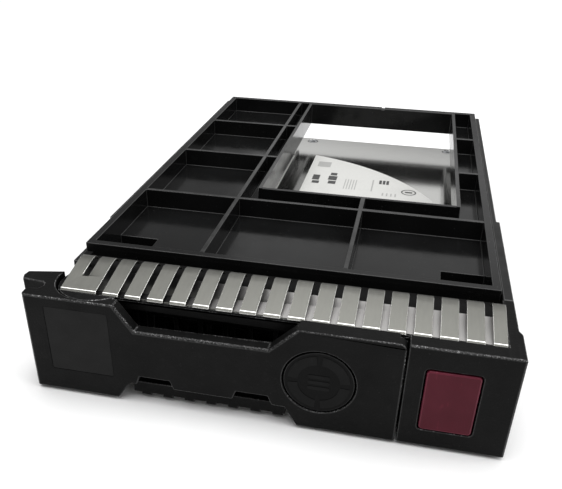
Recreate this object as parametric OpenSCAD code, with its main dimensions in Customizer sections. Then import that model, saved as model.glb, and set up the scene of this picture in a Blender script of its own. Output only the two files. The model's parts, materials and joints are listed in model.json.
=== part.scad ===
// Hot-swap drive carrier with a converter tray and a 2.5-inch solid-state drive.
// Millimetres, +Z up, bezel faces -Y. The origin is under the middle of the whole assembly.

/* [Drive body] */
// Width of the 3.5-inch form factor
drive_w = 101.6; // [101.4:0.1:101.8]
// Length of the 3.5-inch form factor
drive_l = 147; // [146.5:0.1:147.2]
// Height of the 3.5-inch form factor
drive_h = 26.1; // [26:0.05:26.2]
// Outer wall thickness of the tray
wall_t = 2; // [1.8:0.1:2.2]
// Depth of the deck below the tray rim
deck_drop = 5.5; // [5:0.1:6]
// Thickness of the deck
deck_t = 1.5; // [1.2:0.1:1.8]
// Thickness of the deck ribs
rib_t = 1.2; // [1:0.1:1.4]
// Depth of the window frame below the tray rim
window_drop = 8.2; // [8:0.1:9]

/* [Solid-state drive] */
// Width of the 2.5-inch drive
ssd_w = 69.85; // [69.6:0.05:70.1]
// Length of the 2.5-inch drive
ssd_l = 100.45; // [100:0.05:100.6]
// Height of the 2.5-inch drive
ssd_h = 7; // [6.8:0.1:7]
// Sideways offset of the 2.5-inch drive from the middle of the tray
ssd_shift = 12.6; // [12.4:0.1:12.8]

/* [Bezel] */
// Depth of the bezel in front of the drive
bezel_d = 25.4; // [25.2:0.1:25.6]
// Top edge of the bezel above the ground
bezel_top = 26.5; // [26.3:0.1:26.6]
// Bottom edge of the bezel above the ground
bezel_bottom = 0.85; // [0.7:0.05:1]
// Distance that the button stands in front of the bezel
button_proud = 0.2; // [0.1:0.05:0.3]
// Travel of the release button
button_travel = 1.6; // [1.2:0.1:1.6]
// Radius of the round indicator lens
lens_r = 7.8; // [7.6:0.05:8.1]

/* [Gaskets] */
// Number of spring fingers on each gasket
finger_count = 19; // [15:1:19]
// Pitch of the spring fingers
finger_pitch = 5.335; // [5.3:0.005:5.34]
// Width of a spring finger
finger_w = 3.75; // [3.6:0.05:4]
// Thickness of the gasket sheet
sheet_t = 0.3; // [0.2:0.05:0.35]

/* [Rails] */
// Distance of a rail's inner face from the drive's centre plane
rail_in = 51.2; // [51.1:0.05:51.25]
// Distance of a rail's outer face from the centre plane at the front
rail_out = 53.5; // [53.4:0.1:53.6]
// Distance of a rail's outer face from the centre plane at the rear
rail_out_rear = 52.6; // [52.5:0.05:52.7]

/* [Hidden] */
$fn = 64;
eps = 0.01;

// Placement of the drive body
drive_cx = 2.3;
tray_z0 = 1.7;
tray_z1 = tray_z0 + drive_h;
rear_y = (drive_l + bezel_d) / 2;
front_y = -rear_y;
face_y = front_y + button_proud;
tray_y0 = rear_y - drive_l;
tray_x0 = drive_cx - drive_w / 2;
tray_x1 = drive_cx + drive_w / 2;
deck_z1 = tray_z1 - deck_drop;
deck_z0 = deck_z1 - deck_t;
frame_z0 = tray_z1 - window_drop;

// Deck layout, measured from the drive's centre plane and from the tray's front
rib_a_x = drive_cx - 20.7;
rib_b_x = drive_cx - 16.1;
rib_mid_x = drive_cx + 15;
rib_c_x = drive_cx + 42.3;
rib_front_y = tray_y0 + 38;
rib_cross_y = [tray_y0 + 75.7, tray_y0 + 111.5];
win_front_y = tray_y0 + 48;
win_rear_y = rear_y - 3.4;
slot_w = 10.8;
slot_d = 14.7;
slot_floor_z = 13.4;

// Bay of the 2.5-inch drive
ssd_cx = drive_cx + ssd_shift;
ssd_x0 = ssd_cx - ssd_w / 2;
ssd_x1 = ssd_cx + ssd_w / 2;
ssd_y0 = rear_y - ssd_l;
ssd_z0 = 5.2;
ssd_z1 = ssd_z0 + ssd_h;
bay_x0 = ssd_x0 - 1.2;
bay_wall_t = 1.5;
bay_floor_t = 1.5;
stop_y = ssd_y0 - 0.5;
ledge_left_x = ssd_x0 + 9;
ledge_right_x = ssd_x1 - 9;
ssd_hole_dx = 30.86;
ssd_hole_y = [rear_y - 14, rear_y - 90.6];
case_t = 1.2;
cover_z0 = ssd_z1 - 1;
case_screw_dx = [8 - ssd_w / 2, ssd_w / 2 - 5.3];
case_screw_y = [rear_y - 3.8, ssd_y0 + 3.8];
board_z = [8.1, 9.1];
plug_x = [-0.8, 40.2];
plug_divider_x = [12.9, 14.5];
signal_x = [2.6, 12.2];
power_x = [15.2, 36.8];
tongue_z = [7.4, 8.6];
label_x = ssd_cx - 22.8;
label_arc = [ssd_cx - 42.3, ssd_y0 + 6.6, 74.6];
m3_r = 1.5;
m3_tap_r = 1.55;
m3_head_r = 2.8;

// Standard mounting holes of the 3.5-inch form factor
side_hole_y = [rear_y - 28.5, rear_y - 130.1];
side_hole_z = tray_z0 + 6.35;
bottom_hole_dx = 47.625;
bottom_hole_y = [rear_y - 41.28, rear_y - 85.73];
unc_r = 1.5;
unc_tap_r = 1.55;

// Rails
rail_step_y = tray_y0 + 42;
left_step_y = tray_y0 + 18.8;
left_rail_top = 24.6;
head_depth = 0.8;

// Bezel
wall_rear_y0 = tray_y0 - 3.8;
wall_rear_y1 = tray_y0 - 1.8;
shelf_front_y = front_y + 5.4;
shelf_top_z = [22.8, 25.5];
shelf_low_z = [1.8, 4.4];
block_x0 = drive_cx + 31.3;
block_x1 = drive_cx + 54.2;
strip_x0 = drive_cx - 47.65;
strip_x1 = drive_cx + 50.8;
finger_x0 = drive_cx - 48.1;
shelf_x0 = drive_cx - 46;
shelf_x1 = drive_cx + 50.9;
bezel_skin = 2.2;
shelf_span = [shelf_low_z[1] - eps, shelf_top_z[0] + eps];
foot_screw_x = [-39.5, 48];
foot_screw_z = [8, 19];
board_post_x = [13.5, 30];
board_post_z = [7.5, 20];
recess_x = [-29, 8.1];
chamber_x0 = 9.1;

// Ejector lever
pivot = [drive_cx - 41, tray_y0 - 15];
pivot_r = 1.5;
post_r = 9;
cam_r = 9.4;
lever_x0 = -52.3;
lever_x1 = 33.25;
plate_t = 3;
hub_z = [4.9, 22.3];
hub_r = 5;

// Indicator lens
lens_x = drive_cx + 13.4;
lens_z = 13.7;
guide_r = 6.4;
led_r = 5.1;

// Release button and latch
button_x = [37.5, 49.15];
button_z = [5.3, 21.33];
button_gap = 0.3;
button_cx = (button_x[0] + button_x[1]) / 2;
button_cz = (button_z[0] + button_z[1]) / 2;
latch_pivot = [38, -71];
latch_arm = 8;
latch_z = [10, 17];
stem_x = latch_pivot[0] + latch_arm;
spring_z = button_cz + 4.7;

// Flexible circuit and its boards
flex_z = [11.2, 15.8];
flex_t = 0.15;
flex_y = wall_rear_y0 - 1.6;
flex_x = tray_x1 + 0.15;
board_y = [-74.8, -73.6];
contact_y = [rear_y - 14, rear_y - 2.4];
contact_z = [9, 20];

// A box between two corners, given as one range per axis
module slab(x, y, z) {
    translate([x[0], y[0], z[0]])
        cube([x[1] - x[0], y[1] - y[0], z[1] - z[0]]);
}

// A round bar along X, Y or Z between two places
module rod_x(x, y, z, r) {
    translate([x[0], y, z])
        rotate([0, 90, 0])
            cylinder(h = x[1] - x[0], r = r);
}

module rod_y(x, y, z, r) {
    translate([x, y[1], z])
        rotate([90, 0, 0])
            cylinder(h = y[1] - y[0], r = r);
}

module rod_z(x, y, z, r) {
    translate([x, y, z[0]])
        cylinder(h = z[1] - z[0], r = r);
}

// A flat outline in X and Z, extruded along Y
module plate_y(y) {
    translate([0, y[1], 0])
        rotate([90, 0, 0])
            linear_extrude(y[1] - y[0])
                children();
}

// A flat outline in Y and Z, extruded along X
module plate_x(x) {
    translate([x[0], 0, 0])
        rotate([90, 0, 90])
            linear_extrude(x[1] - x[0])
                children();
}

function arc(cx, cy, r, a0, a1, n) = [for (i = [0:n]) let (a = a0 + (a1 - a0) * i / n)
    [cx + r * cos(a), cy + r * sin(a)]];

// Rounded rectangle outline with its corners at radius r
function round_rect(x, y, r) = concat(
    arc(x[1] - r, y[1] - r, r, 0, 90, 6), arc(x[0] + r, y[1] - r, r, 90, 180, 6),
    arc(x[0] + r, y[0] + r, r, 180, 270, 6), arc(x[1] - r, y[0] + r, r, 270, 360, 6));

// Outline of a bent sheet of even thickness along a line of points
function unit(v) = v / norm(v);
function bend_normal(p, i) =
    let (a = p[max(i - 1, 0)])
    let (b = p[min(i + 1, len(p) - 1)])
    let (d = unit(b - a))
    [-d[1], d[0]];
function sheet(p, t) = concat(
    [for (i = [0:len(p) - 1]) p[i] + bend_normal(p, i) * t / 2],
    [for (i = [len(p) - 1:-1:0]) p[i] - bend_normal(p, i) * t / 2]);

// A wire coil about +Z, as one swept tube
module coil(r, wire_r, turns, length) {
    sides = 8;
    steps = round(turns * 20);
    points = [for (i = [0:steps], k = [0:sides - 1])
        let (a = 360 * turns * i / steps)
        let (b = 360 * k / sides)
        [(r + wire_r * cos(b)) * cos(a), (r + wire_r * cos(b)) * sin(a),
            length * i / steps + wire_r * sin(b)]];
    tube = [for (i = [0:steps - 1], k = [0:sides - 1])
        let (n = (k + 1) % sides)
        [i * sides + k, i * sides + n, (i + 1) * sides + n, (i + 1) * sides + k]];
    ends = [[for (k = [sides - 1:-1:0]) k], [for (k = [0:sides - 1]) steps * sides + k]];
    polyhedron(points, concat(tube, ends), convexity = 8);
}

// ---------- Converter tray ----------

module tray_shell() {
    inner_x = [tray_x0 + wall_t, tray_x1 - wall_t];
    difference() {
        slab([tray_x0, tray_x1], [tray_y0, rear_y], [tray_z0, tray_z1]);
        slab(inner_x, [tray_y0 + wall_t, rear_y - wall_t], [tray_z0 - 1, deck_z0]);
        slab(inner_x, [tray_y0 + wall_t, rear_y - wall_t], [deck_z1, tray_z1 + 1]);
    }
}

// Ribs stand on the deck to the rim and hang a little below it
module deck_rib(x, y) {
    slab(x, y, [deck_z0 - 4, tray_z1]);
}

module tray_ribs() {
    h = rib_t / 2;
    left = tray_x0 + wall_t - eps;
    right = tray_x1 - wall_t + eps;
    front = tray_y0 + wall_t - eps;
    back = rear_y - wall_t + eps;
    deck_rib([rib_a_x - h, rib_a_x + h], [front, back]);
    deck_rib([rib_mid_x - h, rib_mid_x + h], [front, win_front_y - h]);
    deck_rib([left, right], [rib_front_y - h, rib_front_y + h]);
    for (y = rib_cross_y) {
        slab([left, rib_b_x + h], [y - h, y + h], [deck_z0, tray_z1]);
        slab([rib_c_x - h, right], [y - h, y + h], [deck_z0, tray_z1]);
    }
    // frame round the window, with its own front wall behind the cross rib
    for (x = [rib_b_x, rib_c_x])
        slab([x - h, x + h], [win_front_y - rib_t, back], [frame_z0, tray_z1]);
    slab([rib_b_x - h, rib_c_x + h], [win_front_y - rib_t, win_front_y], [frame_z0, tray_z1 - 0.2]);
    slab([rib_b_x, rib_c_x], [win_rear_y, rear_y - eps], [frame_z0, tray_z1]);
}

module ssd_bay() {
    bay = [bay_x0 - bay_wall_t, tray_x1 - wall_t + eps];
    slab([bay[0], bay_x0], [stop_y - bay_wall_t, rear_y], [tray_z0, deck_z0 + eps]);
    slab(bay, [stop_y - bay_wall_t, stop_y], [tray_z0, deck_z0 + eps]);
    slab(bay, [stop_y - bay_wall_t, rear_y], [tray_z0, tray_z0 + bay_floor_t]);
    slab([bay[0], ledge_left_x], [stop_y - eps, rear_y], [tray_z0, ssd_z0]);
    slab([ledge_right_x, bay[1]], [stop_y - eps, rear_y], [tray_z0, ssd_z0]);
}

// Closed pockets under the corner slots
module slot_cups() {
    cup_t = 1.2;
    for (x = [tray_x0 + wall_t, tray_x1 - wall_t - slot_w])
        slab([x - cup_t, x + slot_w + cup_t], [tray_y0 + 1, tray_y0 + wall_t + slot_d + cup_t],
            [slot_floor_z - cup_t, deck_z0 + eps]);
}

module tray_bosses() {
    for (y = side_hole_y, s = [-1, 1])
        rod_x([drive_cx + s * drive_w / 2 - (s > 0 ? 3.2 : 0),
            drive_cx + s * drive_w / 2 + (s > 0 ? 0 : 3.2)], y, side_hole_z, 3.2);
    for (y = bottom_hole_y, s = [-1, 1])
        rod_z(drive_cx + s * (bottom_hole_dx - 0.4), y, [tray_z0, ssd_z0], 3.2);
}

module converter_tray() {
    color("#2a2a2b")
    difference() {
        union() {
            tray_shell();
            tray_ribs();
            ssd_bay();
            slot_cups();
            tray_bosses();
        }
        // window above the 2.5-inch drive
        slab([rib_b_x + rib_t / 2 - eps, rib_c_x - rib_t / 2 + eps], [win_front_y, win_rear_y],
            [frame_z0 - 1, tray_z1 + 1]);
        // way out for the drive's connector
        slab([bay_x0, tray_x1 - wall_t], [rear_y - 4, rear_y + 1], [ssd_z0, frame_z0]);
        // opening in the bay floor
        slab([ledge_left_x + 6, ledge_right_x - 6], [stop_y + 12, rear_y - 22],
            [tray_z0 - 1, tray_z0 + bay_floor_t + 1]);
        // corner slots in the deck
        for (x = [tray_x0 + wall_t, tray_x1 - wall_t - slot_w])
            slab([x, x + slot_w], [tray_y0 + wall_t, tray_y0 + wall_t + slot_d],
                [slot_floor_z, deck_z1 + 1]);
        // thumb notch in the rear rim
        slab([drive_cx + 13.4, drive_cx + 14.6], [rear_y - 4, rear_y + 1],
            [tray_z1 - 0.35, tray_z1 + 1]);
        for (y = side_hole_y) {
            rod_x([tray_x0 - 1, tray_x0 + 4], y, side_hole_z, unc_tap_r);
            rod_x([tray_x1 - 4, tray_x1 + 1], y, side_hole_z, unc_tap_r);
        }
        for (y = bottom_hole_y, s = [-1, 1])
            rod_z(drive_cx + s * bottom_hole_dx, y, [tray_z0 - 1, ssd_z0 + eps], unc_tap_r);
        for (y = ssd_hole_y, s = [-1, 1]) {
            rod_z(ssd_cx + s * ssd_hole_dx, y, [tray_z0 - 1, ssd_z0 + 1], m3_r + 0.2);
            rod_z(ssd_cx + s * ssd_hole_dx, y, [tray_z0 - 1, tray_z0 + 1.9], m3_head_r + 0.2);
        }
    }
}

// ---------- Rails ----------

// One rail, drawn at the right of the drive's centre plane. In front of step_y it has its own
// outer face and top.
module rail_half(y0, step_y, front_out, front_top, foot_in) {
    difference() {
        union() {
            slab([rail_in, front_out], [y0, step_y], [0, front_top]);
            slab([rail_in, rail_out_rear], [step_y - eps, rear_y], [0, bezel_top]);
            // ledge under the tray's side wall
            slab([rail_in - 1.5, rail_in + eps], [tray_y0, rear_y], [0, 1.5]);
            // foot behind the bezel
            slab([foot_in, rail_in + eps], [wall_rear_y1, tray_y0 - 0.4], [3, 24]);
        }
        // guide groove and its run-out at the rear
        slab([front_out - 0.7, front_out + 1], [y0 + 6, step_y - 3], [14, 18]);
        slab([rail_out_rear - 0.5, rail_out_rear + 1], [rail_step_y + 3, contact_y[0] - 6],
            [17, 20]);
        // lead-in chamfers at the rear end
        for (s = [0, 1])
            translate([rail_in + 1, rear_y, s * bezel_top])
                rotate([45, 0, 0])
                    cube([10, 3, 3], center = true);
        for (y = side_hole_y)
            rod_x([rail_in - 1, rail_out + 1], y, side_hole_z, unc_r + 0.1);
        rod_x([front_out - head_depth, front_out + 1], side_hole_y[1], side_hole_z, 3.2);
        rod_x([rail_out_rear - head_depth, rail_out_rear + 1], side_hole_y[0], side_hole_z, 3.2);
    }
}

module foot_screw_holes(x) {
    for (z = foot_screw_z) {
        rod_y(x, [wall_rear_y1 - 1, tray_y0], z, 1.3);
        rod_y(x, [tray_y0 - 1.1, tray_y0], z, 2.4);
    }
}

module rail_left() {
    color("#1f1f20")
    difference() {
        translate([drive_cx, 0, 0])
            mirror([1, 0, 0])
                rail_half(tray_y0 - 4.2, left_step_y, rail_out_rear, left_rail_top, 39.5);
        foot_screw_holes(foot_screw_x[0]);
    }
}

module rail_right() {
    color("#1f1f20")
    difference() {
        translate([drive_cx, 0, 0])
            rail_half(wall_rear_y1, rail_step_y, rail_out, bezel_top, 40);
        foot_screw_holes(foot_screw_x[1]);
        // way through the foot for the flexible circuit
        slab([flex_x - 0.3, drive_cx + rail_in + 0.02], [wall_rear_y1 - 1, tray_y0 + 1],
            [flex_z[0] - 0.4, flex_z[1] + 0.4]);
        // seat of the contact board
        slab([drive_cx + rail_in - 1, drive_cx + rail_out], contact_y, contact_z);
    }
}

module tray_screws() {
    color("#8d8f92")
    for (s = [-1, 1])
        translate([drive_cx, 0, 0])
            mirror([s < 0 ? 1 : 0, 0, 0]) {
                for (i = [0, 1]) {
                    out = i == 1 && s > 0 ? rail_out : rail_out_rear;
                    head_x = out - head_depth;
                    difference() {
                        union() {
                            rod_x([48.2, head_x + eps], side_hole_y[i], side_hole_z, unc_r);
                            rod_x([head_x, head_x + 0.75], side_hole_y[i], side_hole_z, 2.9);
                        }
                        for (a = [0, 90])
                            translate([head_x + 0.6, side_hole_y[i], side_hole_z])
                                rotate([a, 0, 0])
                                    cube([0.7, 3.4, 0.7], center = true);
                    }
                }
            }
}

module bezel_screws() {
    color("#8d8f92")
    for (x = foot_screw_x, z = foot_screw_z)
        difference() {
            union() {
                rod_y(x, [wall_rear_y0 - 1.6, tray_y0 - 1], z, 1.1);
                rod_y(x, [tray_y0 - 1.1, tray_y0 - 0.45], z, 2.2);
            }
            slab([x - 1.6, x + 1.6], [tray_y0 - 0.75, tray_y0], [z - 0.3, z + 0.3]);
            slab([x - 0.3, x + 0.3], [tray_y0 - 0.75, tray_y0], [z - 1.6, z + 1.6]);
        }
}

// ---------- Bezel ----------

module shelf(z) {
    rod_z(pivot[0], pivot[1], z, post_r);
    slab([shelf_x0, pivot[0] + 6], [pivot[1] + 7.6, wall_rear_y1], z);
    slab([pivot[0], shelf_x1], [shelf_front_y, wall_rear_y1], z);
}

module right_block() {
    side_y = tray_y0 - 14.2;
    difference() {
        union() {
            slab([block_x0, block_x1], [face_y, shelf_front_y + eps], [bezel_bottom, bezel_top]);
            plate = [[block_x1 - 3.3, shelf_front_y], [block_x1, shelf_front_y],
                [block_x1, side_y - 1.4], [block_x1 - 0.7, side_y], [block_x1 - 0.7, wall_rear_y1],
                [block_x1 - 3.3, wall_rear_y1]];
            translate([0, 0, bezel_bottom])
                linear_extrude(bezel_top - bezel_bottom)
                    polygon(plate);
            slab([block_x0, block_x0 + 1.6], [shelf_front_y, wall_rear_y0], shelf_span);
            // guide wall of the button's stems
            slab([39.2, block_x1 - 2], [-78, -76.5], shelf_span);
        }
        // hollow behind the front skin
        slab([block_x0 + 1.6, block_x1 - bezel_skin], [face_y + bezel_skin, shelf_front_y + 1],
            [shelf_low_z[1], shelf_top_z[0]]);
        // opening for the button
        plate_y([face_y - 1, face_y + bezel_skin + 1])
            polygon(round_rect(button_x, button_z, 0.9));
        // way through for the latch hook
        slab([block_x0 - 1, block_x0 + 2.6], [-82, -66.5], [latch_z[0] - 1, latch_z[1] + 1]);
        rod_y(button_cx, [-79, -75], spring_z, 2.3);
        rod_y(stem_x, [-79, -75], button_cz, 1.5);
    }
}

// Plan of the corner behind the lever's cam, up to a place to its right
function corner_plan(x1) = [[tray_x0 + 0.7, wall_rear_y1], [tray_x0 + 0.7, -66.2], [-45.8, -67.6],
    [x1, -67.6], [x1, wall_rear_y1]];

module bezel_frame() {
    color("#1c1c1d")
    difference() {
        union() {
            shelf(shelf_top_z);
            shelf(shelf_low_z);
            slab([shelf_x0, block_x1 - 3], [wall_rear_y0, wall_rear_y1],
                [shelf_low_z[0], shelf_top_z[1]]);
            right_block();
            // grille behind the finger recess, and the wall beside it
            slab([recess_x[0], recess_x[1] + eps], [-71.5, -70], shelf_span);
            slab([recess_x[1], chamber_x0], [shelf_front_y, wall_rear_y0 + eps], shelf_span);
            slab([recess_x[0] - 1.5, recess_x[0]], [-76, wall_rear_y0 + eps], shelf_span);
            // corner at the left of the rear wall, raised beside the gasket
            translate([0, 0, shelf_top_z[0]])
                linear_extrude(shelf_top_z[1] - shelf_top_z[0])
                    polygon(corner_plan(shelf_x0 + 1));
            translate([0, 0, shelf_top_z[0]])
                linear_extrude(bezel_top - shelf_top_z[0])
                    polygon(corner_plan(strip_x0 - 0.3));
            // raised front of the upper post
            difference() {
                rod_z(pivot[0], pivot[1], [shelf_top_z[1] - eps, bezel_top - 0.3], post_r);
                slab([-60, 0], [-81.75, -60], [25, bezel_top]);
            }
            // lip under the handle, with its row of small feet
            slab([-28.5, 8.2], [face_y + 2, shelf_front_y + eps], [shelf_low_z[0], 5]);
            for (i = [0:6])
                slab([-26.6 + i * 5.31, -24 + i * 5.31], [face_y + 2, face_y + 3.6],
                    [shelf_low_z[0] - 0.6, shelf_low_z[0] + eps]);
            // bosses for the rail screws
            for (x = foot_screw_x, z = foot_screw_z)
                rod_y(x, [wall_rear_y0 - 2.4, wall_rear_y0 + eps], z, 2.5);
            // posts of the indicator board
            for (x = board_post_x, z = board_post_z)
                rod_y(x, [board_y[1], wall_rear_y0 + eps], z, 1.6);
        }
        rod_z(pivot[0], pivot[1], [shelf_low_z[0] + 0.6, shelf_top_z[1] + 1], pivot_r + 0.02);
        rod_z(latch_pivot[0], latch_pivot[1], [shelf_low_z[0] + 0.6, shelf_top_z[1] + 1],
            pivot_r + 0.02);
        // air slots of the grille and of the rear wall
        for (i = [0:5], k = [0:2]) {
            x = recess_x[0] + 2 + i * 6.2;
            z = 6 + k * 5.4;
            slab([x, x + 4.8], [-72, -69.5], [z, z + 4.2]);
            slab([x, x + 4.8], [wall_rear_y0 - 1, wall_rear_y1 + 1], [z, z + 4.2]);
        }
        for (x = foot_screw_x, z = foot_screw_z)
            rod_y(x, [wall_rear_y0 - 1.8, wall_rear_y1 + 1], z, 1.15);
        // seats of the gaskets' front edges
        gasket_x = [strip_x0 - 0.3, strip_x1 + 0.1];
        slab(gasket_x, [-81.75, shelf_front_y + eps], [25, bezel_top + 1]);
        slab(gasket_x, [-81.75, shelf_front_y + eps], [bezel_bottom - 1, 2.3]);
        // way through for the flexible circuit
        slab([flex_x - 0.3, flex_x + 0.5], [wall_rear_y0 - 3, wall_rear_y1 + 1],
            [flex_z[0] - 0.4, flex_z[1] + 0.4]);
        slab([chamber_x0 + 20, flex_x + 0.5], [flex_y - 0.4, flex_y + 0.5],
            [flex_z[0] - 0.4, flex_z[1] + 0.4]);
    }
}

// ---------- Gaskets ----------

// The first and the last finger are cut short by the ends of the strip
function finger_x(i) = finger_x0 + i * finger_pitch;
function finger_span(i) = [max(finger_x(i), strip_x0), min(finger_x(i) + finger_w, strip_x1)];

// Side view of a finger: it folds back over the leaf at the front edge of the shelf
top_fold = [[-80.3, 25.67], [-81.15, 25.7], [-81.35, 25.95], [-80.95, 26.35], [-76.45, 27.35]];
top_finger = concat(top_fold, [[-76, 27.45], [-71.5, 28.35], [-69.6, 28.65], [-68.4, 28.45],
    [-67.5, 27.8], [-67.1, 27.2]]);
low_finger = [[-80.3, 1.63], [-81.15, 1.6], [-81.35, 1.35], [-80.95, 1], [-76, 0.7],
    [-71.5, 0.3], [-69.6, 0.15], [-68.4, 0.3], [-67.5, 0.75], [-67.1, 1.15]];

// The fingers are cut free of one another at the fold; the leaf behind it holds the row together
module gasket(side_view, leaf_z) {
    for (i = [0:finger_count - 1])
        plate_x(finger_span(i))
            polygon(sheet(side_view, sheet_t));
    slab([strip_x0, strip_x1], [-80.6, -69.6], leaf_z);
}

module emi_gasket_top() {
    color("#b4b4ae") {
        gasket(top_finger, [25.52, 25.52 + sheet_t]);
        // the first two fingers are joined near the fold
        plate_x([finger_x(0) + 1, finger_x(1) + 1])
            polygon(sheet(top_fold, sheet_t));
    }
}

module emi_gasket_bottom() {
    color("#b4b4ae")
    gasket(low_finger, [1.78 - sheet_t, 1.78]);
}

// ---------- Indicator ----------

module light_guide() {
    color("#d8dde0") {
        difference() {
            rod_y(lens_x, [-81.9, -79], lens_z, guide_r);
            rod_y(lens_x, [-83, -78], lens_z, guide_r - 2.5);
        }
        for (a = [45:90:315])
            rod_y(lens_x + led_r * cos(a), [-79 - eps, -76], lens_z + led_r * sin(a), 1.2);
    }
}

module led_board() {
    color("#2d5a3a")
    difference() {
        slab([12, 32], board_y, [5.6, 21.8]);
        for (x = board_post_x, z = board_post_z)
            rod_y(x, [board_y[0] - 1, board_y[1] + 1], z, 0.8);
    }
}

module status_leds() {
    color("#e8e6d0")
    for (a = [45:90:315])
        translate([lens_x + led_r * cos(a), board_y[0] - 0.55, lens_z + led_r * sin(a)])
            cube([1.6, 1.1, 1.2], center = true);
}

module flex_cable() {
    color("#b5651d") {
        slab([24, flex_x + flex_t], [flex_y, flex_y + flex_t], flex_z);
        slab([flex_x, flex_x + flex_t], [flex_y, contact_y[1] - 1], flex_z);
        slab([24, 24 + flex_t], [board_y[1], flex_y + flex_t], flex_z);
    }
}

module rear_contact_board() {
    color("#2d5a3a")
    slab([drive_cx + rail_in - 0.4 + eps + flex_t * 2, drive_cx + rail_in + 0.7],
        [contact_y[0] + 0.2, contact_y[1] - 0.2], [contact_z[0] + 0.2, contact_z[1] - 0.2]);
}

module rear_contact_pads() {
    color("#c9a24a")
    for (i = [0:4]) {
        z = contact_z[0] + 1 + i * 1.9;
        slab([drive_cx + rail_in + 0.7, drive_cx + rail_in + 0.85],
            [contact_y[0] + 1, contact_y[1] - 1], [z, z + 1.2]);
    }
}

// ---------- Ejector lever ----------

// Front view of the handle plate
lever_front = concat(
    [[lever_x0, bezel_bottom], [-31.6, bezel_bottom], [-29.2, 4.5], [-28, 5.6], [-26.7, 5.6],
        [-25.8, 7.9], [-18.6, 7.9], [-17.7, 5.6], [-3.7, 5.6], [-2.8, 7.9], [4.4, 7.9],
        [5.4, 5.6], [8.4, 5.6], [11.3, bezel_bottom], [lever_x1, bezel_bottom]],
    arc(lever_x1 - 1.6, bezel_top - 1.6, 1.6, 0, 90, 6),
    [[10.5, bezel_top], [4.4, 20.5], [-26.2, 20.3], [-30.7, bezel_top], [lever_x0, bezel_top]]);

// Plan of the cam end: the hook, its notch and the round seat on the bezel's post
cam_plan = concat(
    [[-31.6, face_y], [-31.6, shelf_front_y - 0.7], [pivot[0], shelf_front_y - 0.7],
        [pivot[0], pivot[1] + 3]],
    [[-48, -73.9], [-56.3, -75.7], [-56.55, -77.5], [-55.9, -79.2]],
    arc(-51.2, -81.1, 1.6, 70, -70, 8),
    [[-53, -83.2], [-52.9, -85.2], [-52.3, face_y]]);

module lever_flange(x, z) {
    slab(x, [face_y, shelf_front_y - 0.7], z);
}

module ejector_lever() {
    color("#1c1c1d")
    difference() {
        union() {
            difference() {
                union() {
                    plate_y([face_y, face_y + plate_t])
                        polygon(lever_front);
                    translate([0, 0, bezel_bottom])
                        linear_extrude(bezel_top - bezel_bottom)
                            polygon(cam_plan);
                }
                rod_z(pivot[0], pivot[1], [0, 40], cam_r);
            }
            // web and hub
            translate([0, 0, hub_z[0]])
                linear_extrude(hub_z[1] - hub_z[0])
                    polygon([[-47.5, -77.2], [-47.5, -84], [-43, -85.5], [-34.4, -85.5],
                        [-34.4, -76.6], [-42, -73.5]]);
            rod_z(pivot[0], pivot[1], hub_z, hub_r);
            // flanges behind the right part of the handle
            lever_flange([10.6, lever_x1 - 1.6], [24.4, bezel_top]);
            lever_flange([11.4, lever_x1 - 1.6], [bezel_bottom, 2.9]);
            lever_flange([lever_x1 - 1.8, lever_x1], [bezel_bottom, bezel_top - 1.6]);
            // catch for the latch
            slab([28, 30.2], [face_y + plate_t - eps, -77], [11, 16]);
            slab([30.2 - eps, 31.8], [-78.6, -77], [11, 16]);
        }
        rod_z(pivot[0], pivot[1], [hub_z[0] - 1, hub_z[1] + 1], pivot_r + 0.05);
        rod_z(pivot[0], pivot[1], [17.6, hub_z[1] + 1], 4.2);
        rod_y(lens_x, [face_y - 1, face_y + plate_t + 1], lens_z, lens_r + 0.35);
        plate_y([face_y - 1, face_y + 0.3])
            polygon(round_rect([-47.7, -32.2], [6.8, 24], 0.6));
    }
}

module lever_label_plate() {
    color("#262627")
    plate_y([face_y + 0.05, face_y + 0.3])
        polygon(round_rect([-47.6, -32.3], [6.9, 23.9], 0.5));
}

module ring_lens() {
    color("#161618") {
        rod_y(lens_x, [face_y + 0.1, face_y + plate_t + eps], lens_z, lens_r);
        rod_y(lens_x, [face_y + plate_t, face_y + plate_t + 0.5], lens_z, lens_r + 1.1);
    }
}

module ring_segments() {
    color("#3a3a3d")
    for (q = [0:3])
        plate_y([face_y, face_y + 0.1])
            translate([lens_x, lens_z])
                polygon(concat(arc(0, 0, 6.9, 90 * q + 6, 90 * q + 84, 16),
                    arc(0, 0, 4.7, 90 * q + 84, 90 * q + 6, 16)));
}

module lens_icon() {
    color("#3a3a3d")
    for (i = [-1, 0, 1])
        plate_y([face_y, face_y + 0.1])
            polygon(round_rect([lens_x - 2.4, lens_x + 2.4],
                [lens_z + i * 1.5 - 0.45, lens_z + i * 1.5 + 0.45], 0.4));
}

module lever_pivot_pin() {
    color("#9a9c9f")
    rod_z(pivot[0], pivot[1], [shelf_low_z[0] + 0.7, shelf_top_z[1] - 0.1], pivot_r);
}

module lever_spring() {
    color("#a8a9ab")
    translate([pivot[0], pivot[1], 18.2])
        coil(2.7, 0.35, 4, 3.6);
}

// ---------- Release button and latch ----------

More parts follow.
